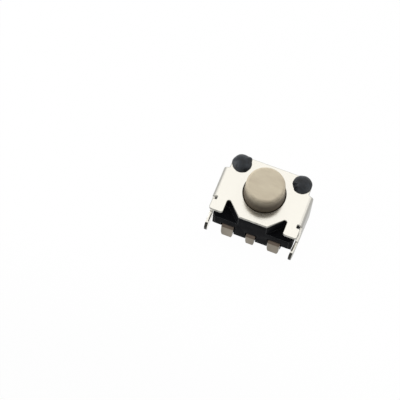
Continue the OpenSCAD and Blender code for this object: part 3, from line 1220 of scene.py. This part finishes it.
    def _mesh(self) -> Mesh:
        """The block with all cuts and rounded edges.

        Returns:
            The mesh in millimetres; its rounded edges have material index 1, the lighter painted highlight.
        """
        half, low, c = self.width / 2, -self.plate_low, self.low_cham
        right = [
            (half - c, low), (half, low + c),
            (half, self.top - self.top_cham_y), (half - self.top_cham_x, self.top),
        ]
        block = self._prism(right + mirrored(right), 0.0, self.plate_in, "housing_block")
        for _ in range(2):
            block.data.materials.append(None)
        cutters = self._cutters()
        for cutter in cutters:
            step = block.modifiers.new("cut", "BOOLEAN")
            step.operation, step.solver, step.object = "DIFFERENCE", "MANIFOLD", cutter
        # The bevel's faces take material index 1, the painted highlight along the edges.
        rounding = block.modifiers.new("round", "BEVEL")
        rounding.width, rounding.segments, rounding.material = self.edge_round, self.edge_steps, 1
        rounding.limit_method, rounding.angle_limit = "ANGLE", math.radians(self.edge_angle)
        graph = bpy.context.evaluated_depsgraph_get()
        bm = bmesh.new()
        bm.from_mesh(block.evaluated_get(graph).to_mesh())
        for helper in [block, *cutters]:
            mesh = helper.data
            bpy.data.objects.remove(helper)
            bpy.data.meshes.remove(mesh)
        for vert in bm.verts:
            vert.co.z = max(vert.co.z, 0.0)
        smooth_faces(bm, angle=28.0)
        return bm

    def build(self, wardrobe: Wardrobe) -> Object:
        """Builds the moulding and dresses it from the wardrobe."""
        known = ("moulded_housing", Body.SWITCH, Slot.HOUSING, "base_housing")
        return wardrobe.seat(self._mesh(), *known, BLACK_MOULDING, HOUSING_EDGE_PAINTED_HIGHLIGHT)


@dataclass
class RivetedPosts(Switch):
    """The housing's two posts through the cover, with riveted heads that are a little uneven."""

    post_r: float = 0.32
    post_root: float = 0.1
    head_r: float = 0.655
    head_rim: float = 0.06
    head_dome: float = 0.3
    head_edge: float = 0.03
    head_wave: float = 0.04
    wave_scale: float = 1.6
    wave_seed: Triple = (7.0, 3.0, 1.0)
    head_marks: tuple[tuple[int, float, float], ...] = (
        (-1, 48.5, 0.1), (1, 212.0, -0.08), (1, 20.0, 0.03), (-1, 190.0, 0.02),
    )
    mark_span: float = 24.0

    def _profile(self) -> Loop:
        """Profile of a post and its head.

        Returns:
            Radius and height, from the head's middle to the root's middle.
        """
        cap_r = (self.head_r**2 + self.head_dome**2) / (2 * self.head_dome)
        base, root = self.case_d, self.plate_in - self.post_root
        middle = base + self.head_rim + self.head_dome - cap_r
        reach = math.degrees(math.asin(self.head_r / cap_r))
        r, e = self.head_r, self.head_edge
        return [
            *arc((0.0, middle), cap_r, 90, 90 - reach, 14)[:-1], (r, base + self.head_rim), (r, base + e),
            (r - e, base), (self.post_r, base), (self.post_r, root), (0.0, root),
        ]

    def _swell(self, side: int, flat: Vector) -> float:
        """How far a head's rim stands out or in at a direction round its post.

        Args:
            side: -1 for the left head, 1 for the right one.
            flat: place relative to the post, without height.

        Returns:
            The offset of the rim in millimetres.
        """
        seed = Vector((side * self.wave_seed[0], *self.wave_seed[1:]))
        offset = -abs(noise.noise(flat.normalized() * self.wave_scale + seed)) * self.head_wave
        for where, angle, reach in self.head_marks:
            away = math.degrees(math.atan2(flat.y, flat.x)) - angle
            away = abs((away + 180.0) % 360.0 - 180.0)
            if where == side and away < self.mark_span:
                offset += reach * math.cos(math.pi / 2 * away / self.mark_span) ** 2
        return offset

    def _mesh(self) -> Mesh:
        """Turns both posts and makes their heads uneven.

        Returns:
            The mesh in millimetres.
        """
        whole = bmesh.new()
        for side in (-1, 1):
            head = lathe(self._profile(), steps=56)
            for vert in head.verts:
                flat = Vector((vert.co.x, vert.co.y, 0.0))
                if vert.co.z > self.case_d + self.head_edge / 2 and flat.length > NEAR:
                    vert.co += flat * self._swell(side, flat) / self.head_r
                vert.co += Vector((side * self.post_x, self.post_y, 0.0))
            join(whole, head)
        smooth_faces(whole, angle=50.0)
        return whole

    def build(self, wardrobe: Wardrobe) -> Object:
        """Builds the posts and dresses them from the wardrobe."""
        return wardrobe.seat(self._mesh(), "riveted_posts", Body.SWITCH, Slot.HOUSING, None, RIVETED_HEAD)


# Button and dome


@dataclass
class Button(Switch):
    """Tapered round button with its flange and nub."""

    base_r: float = 1.37
    end_r: float = 1.265
    height: float = 1.35
    edge_r: float = 0.2
    flange_r: float = 1.72
    flange_t: float = 0.3
    flange_top: float = 3.39
    nub_r: float = 0.45
    nub_z: float = 2.835
    blunt: float = 0.03
    end_rings: Span = (0.3, 0.7)

    def _profile(self) -> Loop:
        """Profile of the button.

        Returns:
            Radius and height, from the middle of the end face to the middle of the nub.
        """
        end, edge, e = self.case_d + self.height, self.edge_r, self.blunt
        slope = (self.base_r - self.end_r) / self.height
        lean = math.atan(slope)
        centre = (self.end_r + slope * edge - edge / math.cos(lean), end - edge)
        top, low, out = self.flange_top, self.flange_top - self.flange_t, self.flange_r
        half = 0.5 * self.height
        return [
            (0.0, end), *((r, end) for r in self.end_rings), (centre[0] - e, end),
            *arc(centre, edge, 90, math.degrees(lean), 10),
            (self.base_r - slope * half, self.case_d + half), (self.base_r, self.case_d), (self.base_r, top),
            (out - e, top), (out, top - e), (out, low + e), (out - e, low),
            (self.nub_r, low), (self.nub_r, self.nub_z + e), (self.nub_r - e, self.nub_z), (0.0, self.nub_z),
        ]

    def build(self, wardrobe: Wardrobe) -> Object:
        """Builds and dresses the button.

        Args:
            wardrobe: the finishes.

        Returns:
            The piece.
        """
        bm = lathe(self._profile(), steps=128)
        smooth_faces(bm, angle=30.0)
        return wardrobe.seat(bm, "tapered_button", Body.BUTTON, Slot.BUTTON, "push_button", BEIGE_MOULDING)


@dataclass
class Dome:
    """Snap dome under the button, built at rest; the real dome flattens when the button is pressed."""

    radius: float = 1.5
    height: float = 0.33
    thickness: float = 0.05
    floor_z: float = 2.44
    travel: float = 0.25
    steps: int = 16

    def build(self, wardrobe: Wardrobe) -> Object:
        """Builds and dresses the dome.

        Args:
            wardrobe: the finishes.

        Returns:
            The piece.
        """
        ball = (self.radius**2 + self.height**2) / (2 * self.height)
        outer = ball + self.thickness
        middle = self.floor_z + self.height - ball
        turn = min(math.acos((self.floor_z - middle) / outer), math.asin(self.radius / outer))
        profile = arc((0.0, middle), outer, 90, 90 - math.degrees(turn), self.steps)
        rim = 90 - math.degrees(math.asin(self.radius / ball))
        bm = lathe(profile + arc((0.0, middle), ball, rim, 90, self.steps), steps=72)
        smooth_faces(bm, angle=40.0)
        piece = wardrobe.seat(bm, "spring_dome", Body.SWITCH, Slot.DOME, "snap_dome", SPRING_METAL)
        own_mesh(piece)
        return piece


# Studio


@dataclass
class Studio:
    """Pale floor, soft light all round, three weak lamps and the camera of the photograph."""

    eye: Triple = (7.972, -40.729, 92.148)
    right: Triple = (0.93348, 0.35712, 0.03295)
    up: Triple = (-0.33794, 0.84513, 0.41419)
    toward: Triple = (0.12007, -0.39778, 0.90959)
    lens: float = 135.4
    sensor: float = 36.0
    clip: Span = (0.005, 5.0)
    aim: Triple = (0.0, 0.0, 2.0)
    floor_half: float = 400.0
    floor_rough: float = 0.9
    floor_glow: float = 0.985
    floor_front_shade: Limits = (5.0, 16.0, 0.9, 0.15)
    tent_axis: Triple = (-0.25, 0.8, 0.55)
    tent_fade: Limits = (-0.05, 0.65, 0.06, 1.25)
    lamps: tuple[tuple[str, Triple, float, float], ...] = (
        ("softbox", (-12.0, 40.0, 91.0), 130.0, 0.012),
        ("left_light", (-70.0, -15.0, 30.0), 60.0, 0.028),
        ("right_light", (70.0, -5.0, 30.0), 60.0, 0.008),
    )

    def build(self) -> None:
        """Builds floor, world, lamps and camera."""
        self._floor()
        self._world()
        for name, place, size, power in self.lamps:
            self._lamp(name, place, size, power)
        self._camera()
        bpy.context.scene.view_settings.view_transform = "Standard"

    def _floor(self) -> None:
        """Builds the table, which looks white and keeps the shadow; a painted shade darkens its colour ahead
        of the piece, so that it lights the piece less in front.
        """
        bm = bmesh.new()
        half = self.floor_half
        corners = [(-half, -half), (half, -half), (half, half), (-half, half)]
        bm.faces.new([bm.verts.new((x, y, 0.0)) for x, y in corners])
        floor = to_object(bm, "floor", MM)
        material = bpy.data.materials.new("pale_floor")
        material.use_nodes = True
        nodes = Nodes(material.node_tree)
        table = nodes.tree.nodes["Principled BSDF"]
        ahead = nodes.along("Object", (0.0, -1.0 / MM, 0.0))
        # Painted shade: the table's colour darkens ahead of the piece, so that less light bounces onto its
        # front.
        tone = nodes.ramp(ahead, self.floor_front_shade, smooth=True)
        nodes.feed(table, {"Roughness": self.floor_rough, "Base Color": tone})
        paper = nodes.shader_mix(self.floor_glow, table, nodes.add("Emission"))
        mix = nodes.shader_mix(nodes.sees_white(), table, paper)
        nodes.feed(nodes.tree.nodes["Material Output"], {"Surface": mix.outputs[0]})
        floor.data.materials.append(material)

    def _world(self) -> None:
        """Builds the studio tent, brightest above and behind, and white where it is seen."""
        world = bpy.data.worlds.new("studio")
        bpy.context.scene.world = world
        world.use_nodes = True
        nodes = Nodes(world.node_tree)
        soft = nodes.tree.nodes["Background"]
        facing = nodes.along("Generated", Vector(self.tent_axis).normalized())
        strength = nodes.ramp(facing, self.tent_fade, smooth=True)
        nodes.feed(soft, {"Color": (1, 1, 1, 1), "Strength": strength})
        white = nodes.add("Background", {"Color": (1, 1, 1, 1), "Strength": 1.0})
        mix = nodes.shader_mix(nodes.sees_white(), soft, white)
        nodes.feed(nodes.tree.nodes["World Output"], {"Surface": mix.outputs[0]})

    def _lamp(self, name: str, place: Triple, size: float, power: float) -> None:
        """Adds a square soft lamp that looks at the switch.

        Args:
            name: name of the lamp.
            place: where it hangs, in millimetres.
            size: its side, in millimetres.
            power: its power in watts.
        """
        lamp = bpy.data.lights.new(name, "AREA")
        lamp.shape = "SQUARE"
        lamp.size = size * MM
        lamp.energy = power
        holder = bpy.data.objects.new(name, lamp)
        holder.location = Vector(place) * MM
        look = Vector(self.aim) - Vector(place)
        holder.rotation_euler = look.to_track_quat("-Z", "Y").to_euler()
        bpy.context.scene.collection.objects.link(holder)

    def _camera(self) -> None:
        """Adds the camera at the photograph's place and makes it the scene's."""
        lens = bpy.data.cameras.new("camera")
        lens.lens, lens.sensor_width = self.lens, self.sensor
        lens.clip_start, lens.clip_end = self.clip
        holder = bpy.data.objects.new("camera", lens)
        turn = Matrix((self.right, self.up, self.toward)).transposed().to_4x4()
        holder.matrix_world = Matrix.Translation(Vector(self.eye) * MM) @ turn
        bpy.context.scene.collection.objects.link(holder)
        bpy.context.scene.camera = holder


def main() -> None:
    logging.basicConfig(level=logging.INFO, format="%(name)s: %(message)s")
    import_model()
    wardrobe = Wardrobe(Effects())
    housing = Housing()
    for part in (housing, RivetedPosts(), Cover(), Button(), Dome(), *housing.terminals()):
        piece = part.build(wardrobe)
        LOG.info("%s: %d faces", piece.name, len(piece.data.polygons))
    Studio().build()


if __name__ == "__main__":
    main()
